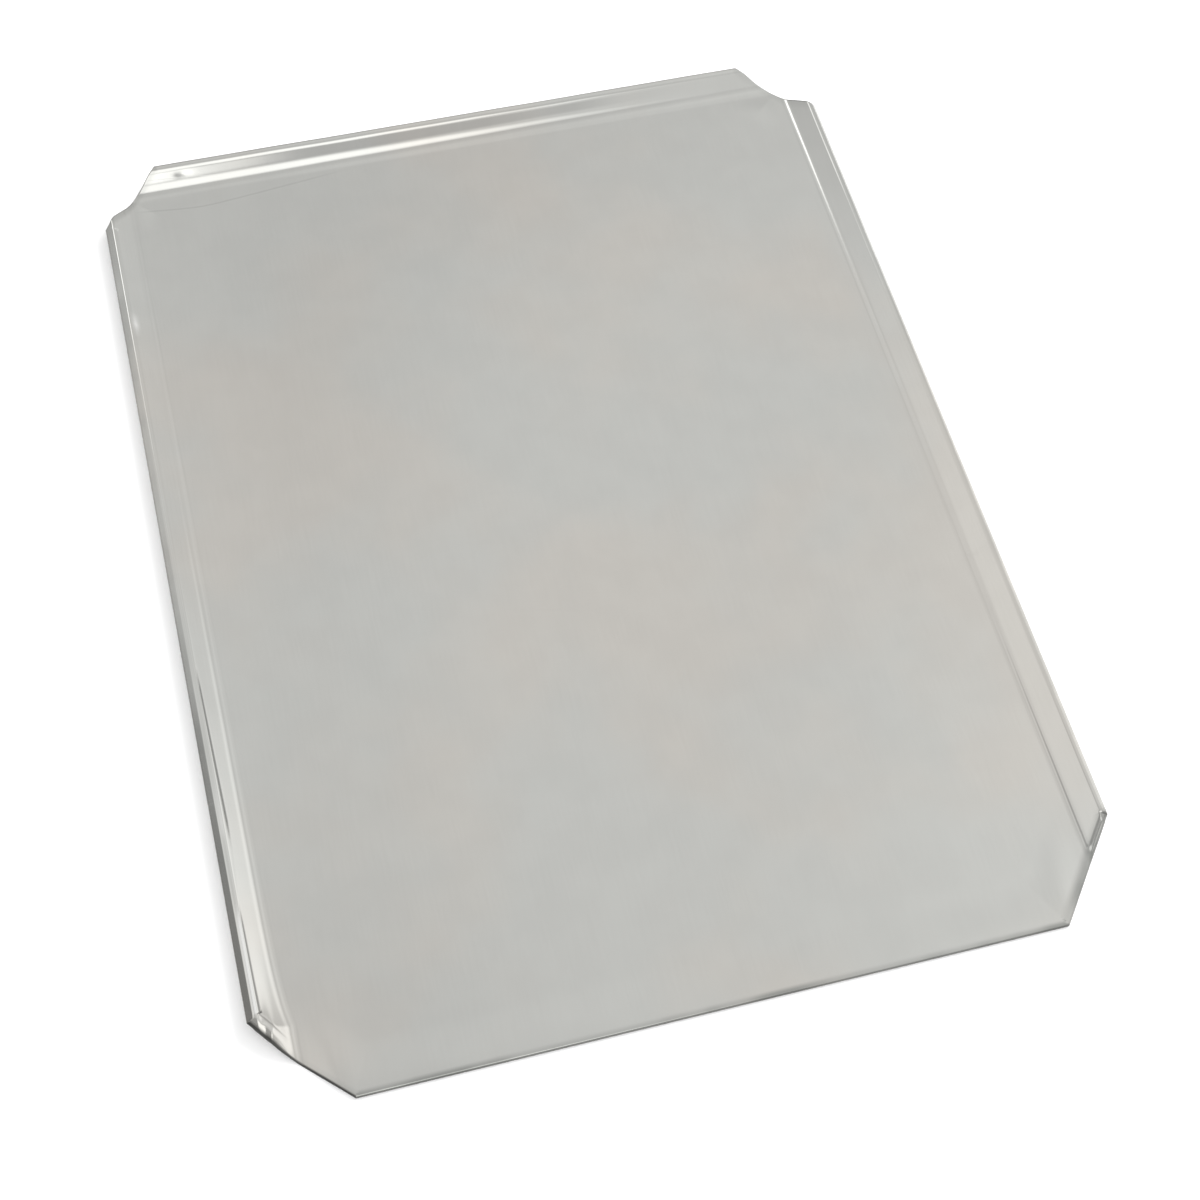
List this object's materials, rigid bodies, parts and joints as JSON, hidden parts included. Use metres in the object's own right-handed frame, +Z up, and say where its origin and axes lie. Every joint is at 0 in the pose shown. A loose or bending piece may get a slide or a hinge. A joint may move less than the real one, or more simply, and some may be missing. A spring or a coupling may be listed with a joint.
{
  "type": "cookie sheet",
  "caption": "Flat steel baking sheet with flared flanges and a rolled rim on the sides and back, a level open front edge and diagonally cut corners.",
  "frame": {"origin": "under the middle of the sheet's overall length and width, on the plane that it rests on", "axes": "+X to the right of someone who stands at the front edge, +Y from the level front edge to the back flange, +Z up out of the baking surface"},
  "size_m": [0.305, 0.406, 0.0065],
  "materials": {
    "bright_steel": "bright, mirror-like rolled stainless steel with a few fine scratches"
  },
  "bodies": {
    "root": {"pressed_sheet": "bright_steel"}
  },
  "joints": []
}
